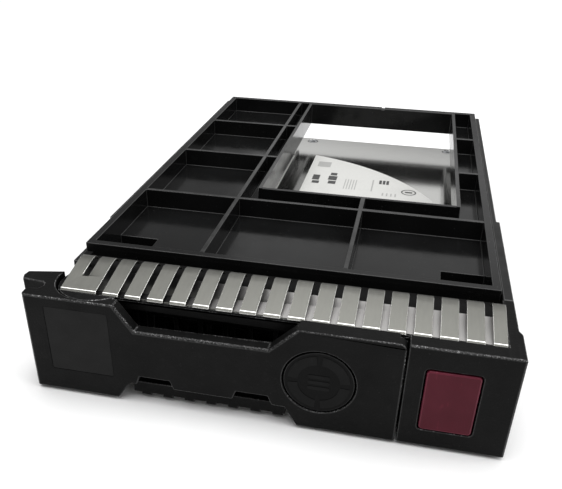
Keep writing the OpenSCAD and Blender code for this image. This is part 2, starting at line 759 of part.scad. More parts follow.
module release_button() {
    color("#5a2230") {
        plate_y([front_y, face_y + bezel_skin + 0.4 + eps])
            polygon(round_rect([button_x[0] + button_gap, button_x[1] - button_gap],
                [button_z[0] + button_gap, button_z[1] - button_gap], 0.8));
        // flange, cut away where the latch's nose turns
        difference() {
            slab([button_x[0] - 0.9, button_x[1] + 0.9],
                [face_y + bezel_skin + 0.4, face_y + bezel_skin + 1.4],
                [button_z[0] - 0.6, button_z[1] + 0.6]);
            slab([button_x[0] - 2, button_x[0] + 0.7],
                [face_y + bezel_skin, face_y + bezel_skin + 2],
                [latch_z[0] - 0.6, latch_z[1] + 0.6]);
        }
        rod_y(button_cx, [face_y + bezel_skin + 1.3, -75.5], spring_z, 2);
        rod_y(stem_x, [face_y + bezel_skin + 1.3, -73], button_cz, 1.2);
    }
}

module button_spring() {
    color("#a8a9ab")
    translate([button_cx, -78.45, spring_z])
        rotate([90, 0, 0])
            coil(2.75, 0.3, 3, 3.6);
}

module release_latch() {
    px = latch_pivot[0];
    py = latch_pivot[1];
    color("#303032")
    difference() {
        union() {
            rod_z(px, py, latch_z, 3);
            translate([0, 0, latch_z[0]])
                linear_extrude(latch_z[1] - latch_z[0])
                    polygon([[px - 2.6, py + 1], [px + 0.6, py - 2.6], [36, -78], [35.6, -80.6],
                        [32.1, -80.6], [32.1, -79.2], [33.6, -78.6]]);
            slab([px, stem_x + 1.6], [py - 1.7, py + 1.2], [latch_z[0] + 1, latch_z[1] - 1]);
        }
        rod_z(px, py, [latch_z[0] - 1, latch_z[1] + 1], pivot_r + 0.05);
    }
}

module latch_pin() {
    color("#9a9c9f")
    rod_z(latch_pivot[0], latch_pivot[1], [shelf_low_z[0] + 0.7, shelf_top_z[1] - 0.1], pivot_r);
}

// ---------- 2.5-inch solid-state drive ----------

module at_case_screws() {
    for (y = case_screw_y, dx = case_screw_dx)
        translate([ssd_cx + dx, y, 0])
            children();
}

module ssd_base_case() {
    color("#b9bbbd")
    difference() {
        union() {
            difference() {
                slab([ssd_x0, ssd_x1], [ssd_y0, rear_y], [ssd_z0, cover_z0]);
                slab([ssd_x0 + case_t, ssd_x1 - case_t], [ssd_y0 + case_t, rear_y - case_t],
                    [ssd_z0 + 0.8, cover_z0 + 1]);
            }
            at_case_screws()
                rod_z(0, 0, [ssd_z0, cover_z0], 2.75);
            for (y = ssd_hole_y, s = [-1, 1])
                rod_z(ssd_cx + s * ssd_hole_dx, y, [ssd_z0, board_z[0]], 3);
        }
        at_case_screws()
            rod_z(0, 0, [ssd_z0 + 1, cover_z0 + 1], 0.85);
        for (y = ssd_hole_y, s = [-1, 1])
            rod_z(ssd_cx + s * ssd_hole_dx, y, [ssd_z0 - 1, board_z[0] - 0.4], m3_tap_r);
        slab([plug_x[0] - 0.2, plug_x[1] + 0.2], [rear_y - 3, rear_y + 1],
            [ssd_z0 + 0.8, cover_z0 + 1]);
    }
}

module ssd_top_cover() {
    color("#c4c6c8")
    difference() {
        slab([ssd_x0, ssd_x1], [ssd_y0, rear_y], [cover_z0, ssd_z1]);
        at_case_screws() {
            rod_z(0, 0, [cover_z0 - 1, ssd_z1 + 1], 1.1);
            rod_z(0, 0, [cover_z0 + 0.4, ssd_z1 + 1], 2.1);
        }
    }
}

module ssd_case_screws() {
    color("#7f8184")
    at_case_screws()
        difference() {
            union() {
                rod_z(0, 0, [ssd_z0 + 1.4, cover_z0 + 0.5], 0.8);
                rod_z(0, 0, [cover_z0 + 0.4, ssd_z1 - 0.1], 1.9);
            }
            translate([0, 0, ssd_z1])
                cylinder(h = 0.7, r = 0.9, $fn = 6, center = true);
        }
}

module ssd_mounting_screws() {
    color("#8d8f92")
    for (y = ssd_hole_y, s = [-1, 1])
        difference() {
            union() {
                rod_z(ssd_cx + s * ssd_hole_dx, y, [tray_z0 + 1, board_z[0] - 1], m3_r);
                rod_z(ssd_cx + s * ssd_hole_dx, y, [tray_z0 + 0.3, tray_z0 + 1.9], m3_head_r);
            }
            for (a = [0, 90])
                translate([ssd_cx + s * ssd_hole_dx, y, tray_z0 + 0.3])
                    rotate([0, 0, a])
                        cube([3.4, 0.7, 1.4], center = true);
        }
}

module ssd_circuit_board() {
    color("#1f4f35")
    difference() {
        slab([ssd_x0 + 1.6, ssd_x1 - 1.6], [ssd_y0 + 1.6, rear_y - 4.6], board_z);
        at_case_screws()
            rod_z(0, 0, [board_z[0] - 1, board_z[1] + 1], 3);
    }
}

module flash_chips() {
    color("#151516")
    for (i = [0:2], k = [0, 1])
        slab([ssd_cx - 26 + i * 18, ssd_cx - 12 + i * 18],
            [ssd_y0 + 8 + k * 22, ssd_y0 + 26 + k * 22], [board_z[1], board_z[1] + 1]);
}

module controller_chip() {
    color("#18181a")
    slab([ssd_cx - 8.5, ssd_cx + 8.5], [rear_y - 38, rear_y - 21], [board_z[1], board_z[1] + 1.2]);
}

module memory_chip() {
    color("#151516")
    slab([ssd_cx + 14, ssd_cx + 23], [rear_y - 36, rear_y - 23], [board_z[1], board_z[1] + 1]);
}

module capacitors() {
    color("#c79a3e")
    for (i = [0:9])
        slab([ssd_cx - 24 + i * 4.8, ssd_cx - 21 + i * 4.8], [ssd_y0 + 56, ssd_y0 + 60],
            [board_z[1], board_z[1] + 1.6]);
}

module thermal_pad() {
    color("#8fa3b3")
    slab([ssd_cx - 8, ssd_cx + 8], [rear_y - 37.5, rear_y - 21.5], [board_z[1] + 1.2, cover_z0]);
}

module ssd_connector() {
    color("#161617") {
        slab(plug_x, [rear_y - 5.6, rear_y - 3.6], [ssd_z0 + 0.85, board_z[0]]);
        slab(plug_x, [rear_y - 4.5, rear_y - 3.2], [ssd_z0 + 0.85, cover_z0 - 0.1]);
        // end guides and the divider
        guide_w = 2.6;
        for (x = [[plug_x[0], plug_x[0] + guide_w], plug_divider_x,
                [plug_x[1] - guide_w, plug_x[1]]])
            slab(x, [rear_y - 3.3, rear_y - 0.1], [ssd_z0 + 0.85, cover_z0 - 0.6]);
        // tongues of the signal and the power segments
        for (x = [signal_x, power_x])
            slab(x, [rear_y - 3.3, rear_y - 0.1], tongue_z);
    }
}

module connector_contacts() {
    color("#d0a84e") {
        z = [tongue_z[1], tongue_z[1] + 0.1];
        for (i = [0:6])
            slab([3.2 + i * 1.27, 4 + i * 1.27], [rear_y - 3.2, rear_y - 0.5], z);
        for (i = [0:14])
            slab([16.9 + i * 1.27, 17.7 + i * 1.27], [rear_y - 3.2, rear_y - 0.5], z);
    }
}

// Label with a long curved edge
module ssd_label() {
    color("#f2f2ee")
    translate([0, 0, ssd_z1])
        linear_extrude(0.12)
            intersection() {
                translate([label_arc[0], label_arc[1]])
                    circle(r = label_arc[2], $fn = 180);
                translate([label_x, ssd_y0 + 4])
                    square([ssd_w - 14, ssd_l - 8]);
            }
}

module ssd_side_label() {
    color("#c9c9c4")
    slab([ssd_x0 + 0.3, ssd_x0 + 3.8], [ssd_y0 + 2, tray_y0 + 122.7], [ssd_z1, ssd_z1 + 0.12]);
}

converter_tray();
rail_left();
rail_right();
bezel_frame();
emi_gasket_top();
emi_gasket_bottom();
bezel_screws();
tray_screws();
light_guide();
led_board();
status_leds();
flex_cable();
rear_contact_board();
rear_contact_pads();
ejector_lever();
lever_label_plate();
ring_lens();
ring_segments();
lens_icon();
lever_pivot_pin();
lever_spring();
release_button();
button_spring();
release_latch();
latch_pin();
ssd_base_case();
ssd_top_cover();
ssd_circuit_board();
flash_chips();
controller_chip();
memory_chip();
capacitors();
thermal_pad();
ssd_connector();
connector_contacts();
ssd_case_screws();
ssd_mounting_screws();
ssd_label();
ssd_side_label();
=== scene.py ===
"""Looks of the hot-swap drive carrier: finishes, rounded edges, printed marks, floor, light, camera."""

import json
import math

import bmesh
import bpy
from mathutils import Matrix, Vector

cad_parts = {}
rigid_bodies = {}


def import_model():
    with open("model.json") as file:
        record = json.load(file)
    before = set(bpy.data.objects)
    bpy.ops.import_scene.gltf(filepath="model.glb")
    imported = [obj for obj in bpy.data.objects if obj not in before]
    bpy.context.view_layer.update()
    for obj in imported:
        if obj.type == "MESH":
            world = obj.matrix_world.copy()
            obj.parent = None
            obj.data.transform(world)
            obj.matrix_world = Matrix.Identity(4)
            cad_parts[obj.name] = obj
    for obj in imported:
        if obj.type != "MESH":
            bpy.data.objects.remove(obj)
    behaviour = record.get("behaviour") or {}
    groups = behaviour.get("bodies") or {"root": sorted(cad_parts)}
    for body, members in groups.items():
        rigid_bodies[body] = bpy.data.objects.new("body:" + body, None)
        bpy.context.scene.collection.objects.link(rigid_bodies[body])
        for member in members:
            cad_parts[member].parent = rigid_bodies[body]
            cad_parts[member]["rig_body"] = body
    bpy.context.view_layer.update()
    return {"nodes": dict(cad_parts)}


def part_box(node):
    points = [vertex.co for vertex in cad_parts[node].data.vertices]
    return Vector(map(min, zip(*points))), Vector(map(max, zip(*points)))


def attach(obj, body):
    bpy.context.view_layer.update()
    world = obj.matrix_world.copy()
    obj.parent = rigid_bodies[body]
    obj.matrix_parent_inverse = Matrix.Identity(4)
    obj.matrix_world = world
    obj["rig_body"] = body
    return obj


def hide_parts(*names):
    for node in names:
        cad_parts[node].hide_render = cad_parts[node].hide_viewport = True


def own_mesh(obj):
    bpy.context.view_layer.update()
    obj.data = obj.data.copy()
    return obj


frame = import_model()

MM = 0.001

# Painted highlight on the up-facing tops of the tray's ribs: inside its outer walls, and only at the height
# of its rim
RIM_WALL = 2.2 * MM
RIM_DEPTH = 0.12 * MM
# Leaf of the upper gasket: it lies below this height, and carries painted shade up to the first X that
# turns into a painted highlight by the second
LEAF_TOP = 26.0 * MM
LEAF_SHADE_TO_HIGHLIGHT = (-18 * MM, 4 * MM)
# Width of the ramp at the edge of a mask
RAMP = 0.1 * MM
COAT_ROUGHNESS = 0.08

# Rounded edges: vertices closer than WELD are one, faces within FLAT are one, and an edge
# sharper than CREASE is rounded
WELD = 1e-6
FLAT = math.radians(0.6)
CREASE = math.radians(28)
# Two edges run on into one another where the cosine between them is below this
STRAIGHT = -0.8
# An edge takes this share of the room beside it, and none where there is too little
ROOM_SHARE = 0.42
LEAST_ROOM = 0.31 * MM
BEVEL_SEGMENTS = 2
# The bezel's upper front edges lie in front of this Y and above this Z
FRONT_RIM_Y = -85.9 * MM
FRONT_RIM_Z = 19.5 * MM

INK_LIFT = 0.03 * MM
FLOOR_HALF = 6.0
SENSOR_WIDTH = 36
CLIP = (0.01, 50)


# ---------------------------------------------------------------- shader helpers


def new_material(name):
    """A material with nodes: (material, tree, principled shader)."""
    material = bpy.data.materials.new(name)
    material.use_nodes = True
    return material, material.node_tree, material.node_tree.nodes["Principled BSDF"]


def noise(tree, scale, detail=2.0, stretch=(1, 1, 1)):
    """A noise value over the object's own metres."""
    place = tree.nodes.new("ShaderNodeTexCoord")
    mapping = tree.nodes.new("ShaderNodeMapping")
    mapping.inputs["Scale"].default_value = stretch
    texture = tree.nodes.new("ShaderNodeTexNoise")
    texture.inputs["Scale"].default_value = scale
    texture.inputs["Detail"].default_value = detail
    tree.links.new(place.outputs["Object"], mapping.inputs["Vector"])
    tree.links.new(mapping.outputs["Vector"], texture.inputs["Vector"])
    return texture.outputs["Fac"]


def cells(tree, scale):
    """Distance to the nearest random point, for spark-eroded grain."""
    place = tree.nodes.new("ShaderNodeTexCoord")
    texture = tree.nodes.new("ShaderNodeTexVoronoi")
    texture.inputs["Scale"].default_value = scale
    tree.links.new(place.outputs["Object"], texture.inputs["Vector"])
    return texture.outputs["Distance"]


def component(tree, kind, axis):
    """The X, Y or Z of the object's own place ("Object") or of its surface's direction ("Normal")."""
    place = tree.nodes.new("ShaderNodeTexCoord")
    parts = tree.nodes.new("ShaderNodeSeparateXYZ")
    tree.links.new(place.outputs[kind], parts.inputs["Vector"])
    return parts.outputs[axis]


def facing_up(tree, low, high):
    """0 where the surface is steep and 1 where it faces up, with a ramp between."""
    return spread(tree, component(tree, "Normal", "Z"), low, high, 0.0, 1.0)


def along(tree, axis, start, end, low, high):
    """low before start and high after end, along one of the object's own axes."""
    return spread(tree, component(tree, "Object", axis), start, end, low, high)


def rib_top_highlight_mask(tree):
    """Mask of the painted highlight: 1 on the up-facing tops of the tray's ribs, and 0 on its outer walls
    and below its rim.
    """
    low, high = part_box("converter_tray")
    starts = (low.x + RIM_WALL, low.y + RIM_WALL, high.z - RIM_DEPTH)
    ends = (high.x - RIM_WALL, high.y - RIM_WALL)
    amount = facing_up(tree, 0.5, 0.9)
    for axis, start in zip("XYZ", starts):
        amount = maths(tree, "MULTIPLY", amount, along(tree, axis, start, start + RAMP, 0.0, 1.0))
    for axis, end in zip("XY", ends):
        amount = maths(tree, "MULTIPLY", amount, along(tree, axis, end - RAMP, end, 1.0, 0.0))
    return amount


def spread(tree, value, low_in, high_in, low_out, high_out):
    """value mapped from one range to another, and held inside it."""
    node = tree.nodes.new("ShaderNodeMapRange")
    node.inputs["From Min"].default_value = low_in
    node.inputs["From Max"].default_value = high_in
    node.inputs["To Min"].default_value = low_out
    node.inputs["To Max"].default_value = high_out
    tree.links.new(value, node.inputs["Value"])
    return node.outputs["Result"]


def maths(tree, kind, a, b):
    """One arithmetic step on two values."""
    node = tree.nodes.new("ShaderNodeMath")
    node.operation = kind
    for socket, value in zip(node.inputs, (a, b)):
        if isinstance(value, (int, float)):
            socket.default_value = value
        else:
            tree.links.new(value, socket)
    return node.outputs["Value"]


def tint(tree, amount, a, b):
    """Colour a where amount is 0 and b where it is 1."""
    node = tree.nodes.new("ShaderNodeMix")
    node.data_type = "RGBA"
    tree.links.new(amount, node.inputs["Factor"])
    for socket, colour in ((node.inputs[6], a), (node.inputs[7], b)):
        if isinstance(colour, tuple):
            socket.default_value = (*colour, 1)
        else:
            tree.links.new(colour, socket)
    return node.outputs[2]


def relief(tree, shader, height, distance):
    """Bump of the given height in metres on the shader."""
    node = tree.nodes.new("ShaderNodeBump")
    node.inputs["Distance"].default_value = distance
    node.inputs["Strength"].default_value = 1.0
    tree.links.new(height, node.inputs["Height"])
    tree.links.new(node.outputs["Normal"], shader.inputs["Normal"])


def grey(value, warm=0.0):
    """A near-neutral colour."""
    return (value * (1 + warm), value, value * (1 - warm))


# ---------------------------------------------------------------- finishes


def moulded(name, dark, light, rough, grain, depth, specular=0.5, dust=0.0, patch=90, ribs=None):
    """Moulded plastic: slow tone changes, spark-eroded grain, fine rubs and a little dust.

    ribs is the paler colour painted on the tops of the tray's ribs, a painted highlight.
    """
    material, tree, shader = new_material(name)
    slow = spread(tree, noise(tree, patch, 4.0), 0.35, 0.65, 0.0, 1.0)
    rub = spread(tree, noise(tree, 700, 3.0, (1, 0.06, 1)), 0.62, 0.72, 0.0, 1.0)
    speck = spread(tree, noise(tree, 2600, 1.0), 0.74, 0.8, 0.0, dust)
    colour = tint(tree, slow, dark, light)
    colour = tint(tree, maths(tree, "MULTIPLY", rub, 0.25), colour, tuple(2.2 * c for c in light))
    colour = tint(tree, speck, colour, (0.35, 0.34, 0.33))
    if ribs:
        # Painted highlight on the rib tops, broken up by noise
        rib_highlight_breakup = spread(tree, noise(tree, 260, 4.0), 0.25, 0.6, 0.35, 1.0)
        colour = tint(tree, maths(tree, "MULTIPLY", rib_top_highlight_mask(tree), rib_highlight_breakup), colour, ribs)
    tree.links.new(colour, shader.inputs["Base Color"])
    gloss = spread(tree, noise(tree, 220, 5.0), 0.3, 0.7, rough[0], rough[1])
    tree.links.new(gloss, shader.inputs["Roughness"])
    shader.inputs["Specular IOR Level"].default_value = specular
    waves = maths(tree, "MULTIPLY", noise(tree, grain * 0.6, 3.0), 0.8)
    relief(tree, shader, maths(tree, "ADD", cells(tree, grain), waves), depth)
    return material


def speckled_highlight(name, dark, light):
    """Rounded edge of grained plastic: dark, with bright grains painted where it faces up, a painted
    highlight where the light catches it.
    """
    material, tree, shader = new_material(name)
    grains = spread(tree, noise(tree, 3800, 2.0), 0.53, 0.66, 0.0, 1.0)
    patches = spread(tree, noise(tree, 260, 3.0), 0.4, 0.62, 0.3, 1.0)
    amount = maths(tree, "MULTIPLY", grains, patches)
    # Painted highlight: the bright grains only on up-facing edges
    amount = maths(tree, "MULTIPLY", amount, facing_up(tree, 0.2, 0.7))
    colour = tint(tree, amount, dark, light)
    tree.links.new(colour, shader.inputs["Base Color"])
    tree.links.new(spread(tree, noise(tree, 2500), 0.3, 0.7, 0.2, 0.5), shader.inputs["Roughness"])
    shader.inputs["Specular IOR Level"].default_value = 0.35
    relief(tree, shader, cells(tree, 2600), 0.0001)
    return material


def metal(name, dark, light, rough, stretch, lines=1400, depth=0.00001, patch=45, stains=0.35, leaf_shade_and_highlight=None):
    """Metal with brushed lines, slow tone changes and small stains.

    The leaf tones are a painted shade and a painted highlight of the level sheet under the gasket's
    fingers: dark towards its left, bright towards its right.
    """
    material, tree, shader = new_material(name)
    slow = spread(tree, noise(tree, patch, 4.0), 0.35, 0.65, 0.0, 1.0)
    brushed = noise(tree, lines, 3.0, stretch)
    fine = spread(tree, brushed, 0.3, 0.7, 0.0, 1.0)
    amount = maths(tree, "MULTIPLY", maths(tree, "ADD", slow, fine), 0.5)
    stain = spread(tree, noise(tree, 320, 5.0), 0.62, 0.75, 0.0, stains)
    colour = tint(tree, stain, tint(tree, amount, dark, light), tuple(0.6 * c for c in dark))
    if leaf_shade_and_highlight:
        # Painted shade and painted highlight on the gasket's flat leaf: dark on the left, bright on the
        # right
        level = along(tree, "Z", LEAF_TOP - RAMP, LEAF_TOP, 1.0, 0.0)
        level = maths(tree, "MULTIPLY", level, facing_up(tree, 0.98, 0.99))
        bright = along(tree, "X", LEAF_SHADE_TO_HIGHLIGHT[0], LEAF_SHADE_TO_HIGHLIGHT[1], 0.0, 1.0)
        colour = tint(tree, level, colour, tint(tree, bright, leaf_shade_and_highlight[0], leaf_shade_and_highlight[1]))
    tree.links.new(colour, shader.inputs["Base Color"])
    tree.links.new(spread(tree, amount, 0.0, 1.0, rough[0], rough[1]), shader.inputs["Roughness"])
    shader.inputs["Metallic"].default_value = 1.0
    relief(tree, shader, brushed, depth)
    return material


def polished(name, dark, light, rough, specular=0.5, coat=0.0):
    """Smooth plastic or resin with faint haze and hairline marks."""
    material, tree, shader = new_material(name)
    slow = spread(tree, noise(tree, 140, 4.0), 0.35, 0.65, 0.0, 1.0)
    hair = spread(tree, noise(tree, 900, 2.0, (1, 0.04, 0.3)), 0.66, 0.72, 0.0, 0.3)
    colour = tint(tree, hair, tint(tree, slow, dark, light), tuple(min(1, 1.8 * c) for c in light))
    tree.links.new(colour, shader.inputs["Base Color"])
    gloss = spread(tree, noise(tree, 400, 4.0), 0.3, 0.7, rough[0], rough[1])
    tree.links.new(gloss, shader.inputs["Roughness"])
    shader.inputs["Specular IOR Level"].default_value = specular
    shader.inputs["Coat Weight"].default_value = coat
    shader.inputs["Coat Roughness"].default_value = COAT_ROUGHNESS
    relief(tree, shader, noise(tree, 1200, 2.0), 0.000004)
    return material


def paper(name, light, dark, rough):
    """Coated label stock: fibres, faint smudges and a slight orange-peel surface."""
    material, tree, shader = new_material(name)
    fibre = spread(tree, noise(tree, 2400, 4.0, (1, 0.4, 1)), 0.35, 0.7, 0.0, 0.5)
    smudge = spread(tree, noise(tree, 110, 4.0), 0.5, 0.75, 0.0, 0.6)
    dirt = maths(tree, "MULTIPLY", maths(tree, "ADD", fibre, smudge), 0.6)
    tree.links.new(tint(tree, dirt, light, dark), shader.inputs["Base Color"])
    gloss = spread(tree, noise(tree, 300, 3.0), 0.3, 0.7, rough[0], rough[1])
    tree.links.new(gloss, shader.inputs["Roughness"])
    relief(tree, shader, noise(tree, 1800, 3.0), 0.000008)
    return material


def circuit_board(name):
    """Solder mask with track ridges under it and a weave in the glass."""
    material, tree, shader = new_material(name)
    place = tree.nodes.new("ShaderNodeTexCoord")
    tracks = tree.nodes.new("ShaderNodeTexBrick")
    tracks.inputs["Scale"].default_value = 260
    tracks.inputs["Mortar Size"].default_value = 0.06
    tracks.inputs["Color1"].default_value = (0.012, 0.075, 0.035, 1)
    tracks.inputs["Color2"].default_value = (0.014, 0.085, 0.04, 1)
    tracks.inputs["Mortar"].default_value = (0.03, 0.15, 0.07, 1)
    tree.links.new(place.outputs["Object"], tracks.inputs["Vector"])
    shade = spread(tree, noise(tree, 500, 3.0), 0.4, 0.7, 0.0, 0.4)
    colour = tint(tree, shade, tracks.outputs["Color"], (0.01, 0.05, 0.025))
    tree.links.new(colour, shader.inputs["Base Color"])
    tree.links.new(spread(tree, noise(tree, 900), 0.3, 0.7, 0.25, 0.42), shader.inputs["Roughness"])
    relief(tree, shader, tracks.outputs["Fac"], 0.00003)
    return material


# The finish of each material slot of the frame
FINISH = {
    # ribs: a painted highlight on the tops of the tray's ribs
    "tray_plastic": moulded("tray_plastic", grey(0.005), grey(0.0075, -0.02), (0.1, 0.19), 3200, 0.000002,
                            specular=0.2, dust=0.18, patch=60, ribs=grey(0.034)),
    "bezel_plastic": moulded("bezel_plastic", grey(0.0042), grey(0.006), (0.42, 0.58), 2300, 0.00003,
                             specular=0.07, dust=0.05),
    "rail_plastic": moulded("rail_plastic", grey(0.007), grey(0.01), (0.34, 0.5), 2600, 0.00002,
                            specular=0.2, dust=0.1),
    # The gasket's leaf tones: painted shade on the left, painted highlight on the right
    "gasket_steel": metal("gasket_steel", (0.17, 0.17, 0.156), (0.205, 0.205, 0.188), (0.4, 0.48),
                          (1, 0.05, 1), stains=0.08, leaf_shade_and_highlight=(grey(0.03), grey(0.55, 0.02))),
    "screw_steel": metal("screw_steel", (0.38, 0.39, 0.4), (0.55, 0.56, 0.57), (0.22, 0.38), (1, 1, 0.1)),
    "pin_steel": metal("pin_steel", (0.48, 0.49, 0.5), (0.62, 0.63, 0.64), (0.18, 0.3), (1, 1, 0.06)),
    "spring_steel": metal("spring_steel", (0.4, 0.4, 0.4), (0.55, 0.55, 0.55), (0.25, 0.4), (1, 1, 1)),
    "lens_plastic": polished("lens_plastic", grey(0.003), grey(0.0045), (0.2, 0.3), specular=0.06),
    "lens_print": polished("lens_print", grey(0.0055), grey(0.0075), (0.35, 0.5), specular=0.07),
    "blank_label": moulded("blank_label", grey(0.0065), grey(0.0075), (0.5, 0.62), 4200, 0.00001,
                           specular=0.13),
    "clear_plastic": polished("clear_plastic", (0.62, 0.64, 0.65), (0.75, 0.77, 0.78), (0.15, 0.3)),
    "button_plastic": polished("button_plastic", (0.064, 0.0075, 0.0145), (0.078, 0.0095, 0.0185),
                               (0.34, 0.46), specular=0.1),
    "latch_plastic": moulded("latch_plastic", grey(0.03), grey(0.045), (0.35, 0.5), 2600, 0.00002),
    "board_green": circuit_board("board_green"),
    "led_white": polished("led_white", (0.7, 0.68, 0.55), (0.82, 0.8, 0.68), (0.2, 0.35)),
    "flex_polyimide": polished("flex_polyimide", (0.36, 0.12, 0.02), (0.5, 0.19, 0.035), (0.18, 0.3),
                               coat=0.3),
    "gold_contact": metal("gold_contact", (0.72, 0.52, 0.2), (0.86, 0.66, 0.3), (0.15, 0.28), (1, 0.1, 1)),
    "case_aluminium": metal("case_aluminium", (0.7, 0.7, 0.68), (0.74, 0.74, 0.72), (0.11, 0.13), (1, 1, 1),
                            lines=300, depth=0.00000005, stains=0.04),
    "chip_epoxy": moulded("chip_epoxy", grey(0.012), grey(0.018), (0.45, 0.6), 4000, 0.00001),
    "tantalum": moulded("tantalum", (0.5, 0.31, 0.06), (0.58, 0.38, 0.09), (0.35, 0.5), 3500, 0.00001),
    "thermal_gel": moulded("thermal_gel", (0.2, 0.27, 0.34), (0.27, 0.35, 0.42), (0.55, 0.7), 900, 0.00004),
    "connector_plastic": moulded("connector_plastic", grey(0.009), grey(0.013), (0.35, 0.5), 3000, 0.00001),
    "label_white": paper("label_white", (0.61, 0.61, 0.59), (0.52, 0.52, 0.5), (0.38, 0.5)),
    # label_grey is paler than the label's own grey: painted light that lifts the strip where it lies in
    # shade under the deck
    "label_grey": paper("label_grey", (0.8, 0.8, 0.77), (0.6, 0.6, 0.58), (0.4, 0.55)),
}
# The finish of a slot's rounded edges, where it differs: the paler edges of the tray, bezel, gasket, rails
# and button are a painted highlight, and the lens and case edges differ in gloss and tone
EDGE_FINISH_AND_HIGHLIGHT = {
    "tray_plastic": moulded("tray_edge", grey(0.014), grey(0.028), (0.24, 0.38), 2600, 0.00002,
                            specular=0.45, dust=0.3),
    "bezel_plastic": speckled_highlight("bezel_edge", grey(0.006), grey(0.3)),
    "gasket_steel": metal("gasket_edge", (0.75, 0.75, 0.72), (0.9, 0.9, 0.87), (0.16, 0.26), (1, 1, 1)),
    "rail_plastic": moulded("rail_edge", grey(0.03), grey(0.05), (0.3, 0.45), 2200, 0.00003, dust=0.3),
    "button_plastic": polished("button_edge", (0.09, 0.008, 0.02), (0.12, 0.012, 0.028), (0.3, 0.4),
                               specular=0.2),
    "lens_plastic": polished("lens_edge", grey(0.004), grey(0.006), (0.1, 0.2), specular=0.25),
    "case_aluminium": metal("case_edge", (0.6, 0.6, 0.59), (0.75, 0.75, 0.73), (0.18, 0.26), (1, 1, 1)),
}

SLOT_OF = {}
for name, node in frame["nodes"].items():
    SLOT_OF[name] = node.material_slots[0].material.name.split(".")[0]
    node.material_slots[0].material = FINISH[SLOT_OF[name]]


# ---------------------------------------------------------------- rounded edges


def crease_room(vert, edge):
    """Length that a bevel of the edge can take at this end before it meets a neighbour."""
    along = (edge.other_vert(vert).co - vert.co).normalized()
    room = edge.calc_length() * 4
    for other in vert.link_edges:
        if other == edge:
            continue
        away = (other.other_vert(vert).co - vert.co).normalized()
        if along.dot(away) > STRAIGHT:
            room = min(room, other.calc_length())
    return room


def level_chains(share):
    """Give creases that run on into one another the same share of the bevel's width."""
    changed = True
    while changed:
        changed = False
        for edge, value in share.items():
            for vert in edge.verts:
                along = (edge.other_vert(vert).co - vert.co).normalized()
                for other in vert.link_edges:
                    if other == edge or share.get(other, value) >= value:
                        continue
                    away = (other.other_vert(vert).co - vert.co).normalized()
                    if along.dot(away) < STRAIGHT:
                        value = share[edge] = share[other]
                        changed = True


def on_front_rim(edge):
    """True for the upper front edges of the bezel, which are rounded more."""
    return all(vert.co.y < FRONT_RIM_Y and vert.co.z > FRONT_RIM_Z for vert in edge.verts)


def rounded(name, width, rim_width=None):
    """Show a CAD node with its creases rounded and an edge finish on them, mostly a paler painted
    highlight.

    rim_width is the wider bevel of the bezel's upper front edges.
    """
    full_width = rim_width or width
    source = frame["nodes"][name]
    slot_name = SLOT_OF[name]
    bm = bmesh.new()
    bm.from_mesh(source.data)
    bmesh.ops.remove_doubles(bm, verts=bm.verts, dist=WELD)
    bmesh.ops.dissolve_limit(bm, angle_limit=FLAT, verts=bm.verts, edges=bm.edges)
    weight = bm.edges.layers.float.new("bevel_weight_edge")
    for face in bm.faces:
        face.smooth = True
    share = {}
    for edge in bm.edges:
        sharp = len(edge.link_faces) == 2 and edge.calc_face_angle(0) > CREASE
        edge.smooth = not sharp
        if sharp:
            room = min(crease_room(vert, edge) for vert in edge.verts)
            wanted = full_width if on_front_rim(edge) else width
            if room > LEAST_ROOM:
                share[edge] = min(wanted, ROOM_SHARE * room) / full_width
    level_chains(share)
    for edge, value in share.items():
        edge[weight] = value
    mesh = bpy.data.meshes.new(name + "_rounded")
    bm.to_mesh(mesh)
    bm.free()
    piece = bpy.data.objects.new(name + "_rounded", mesh)
    bpy.context.scene.collection.objects.link(piece)
    mesh.materials.append(FINISH[slot_name])
    # Second slot for the bevel faces: the edge finish, mostly a painted highlight
    mesh.materials.append(EDGE_FINISH_AND_HIGHLIGHT.get(slot_name, FINISH[slot_name]))
    bevel = piece.modifiers.new("edges", "BEVEL")
    bevel.width = full_width
    bevel.segments = BEVEL_SEGMENTS
    bevel.limit_method = "WEIGHT"
    bevel.use_clamp_overlap = False
    bevel.harden_normals = True
    bevel.miter_outer = "MITER_SHARP"
    bevel.material = 1
    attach(piece, source["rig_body"])
    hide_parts(name)


EDGE_WIDTH = {
    "converter_tray": 0.18 * MM,
    "emi_gasket_top": 0.1 * MM,
    "emi_gasket_bottom": 0.1 * MM,
    "bezel_frame": 0.25 * MM,
    "ejector_lever": 0.28 * MM,
    "rail_left": 0.3 * MM,
    "rail_right": 0.3 * MM,
    "release_button": 0.4 * MM,
    "ring_lens": 0.2 * MM,
    "ssd_base_case": 0.25 * MM,
    "ssd_top_cover": 0.25 * MM,
    "ssd_connector": 0.12 * MM,
}
RIM_WIDTH = {"bezel_frame": 0.6 * MM, "ejector_lever": 0.6 * MM}
for node_name, edge_width in EDGE_WIDTH.items():
    rounded(node_name, edge_width, RIM_WIDTH.get(node_name))


# ---------------------------------------------------------------- copy of the button spring


def pressed_spring(name):
    """Show a copy of a coil on the body of its CAD node, in place of that node."""
    source = frame["nodes"][name]
    piece = bpy.data.objects.new(name + "_pressed", source.data.copy())
    bpy.context.scene.collection.objects.link(piece)
    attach(piece, source["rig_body"])
    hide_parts(name)
    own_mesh(piece)


pressed_spring("button_spring")


# ---------------------------------------------------------------- printed marks on the label


def flat_marks(name, outlines, z, ink):
    """Closed flat outlines in millimetres, drawn as very thin ink on a surface at height z."""
    bm = bmesh.new()
    for outline in outlines:
        bm.faces.new([bm.verts.new((x * MM, y * MM, z)) for x, y in outline])
    mesh = bpy.data.meshes.new(name)
    bm.to_mesh(mesh)
    bm.free()
    mesh.materials.append(ink)
    piece = bpy.data.objects.new(name, mesh)
    bpy.context.scene.collection.objects.link(piece)
    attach(piece, "carrier")


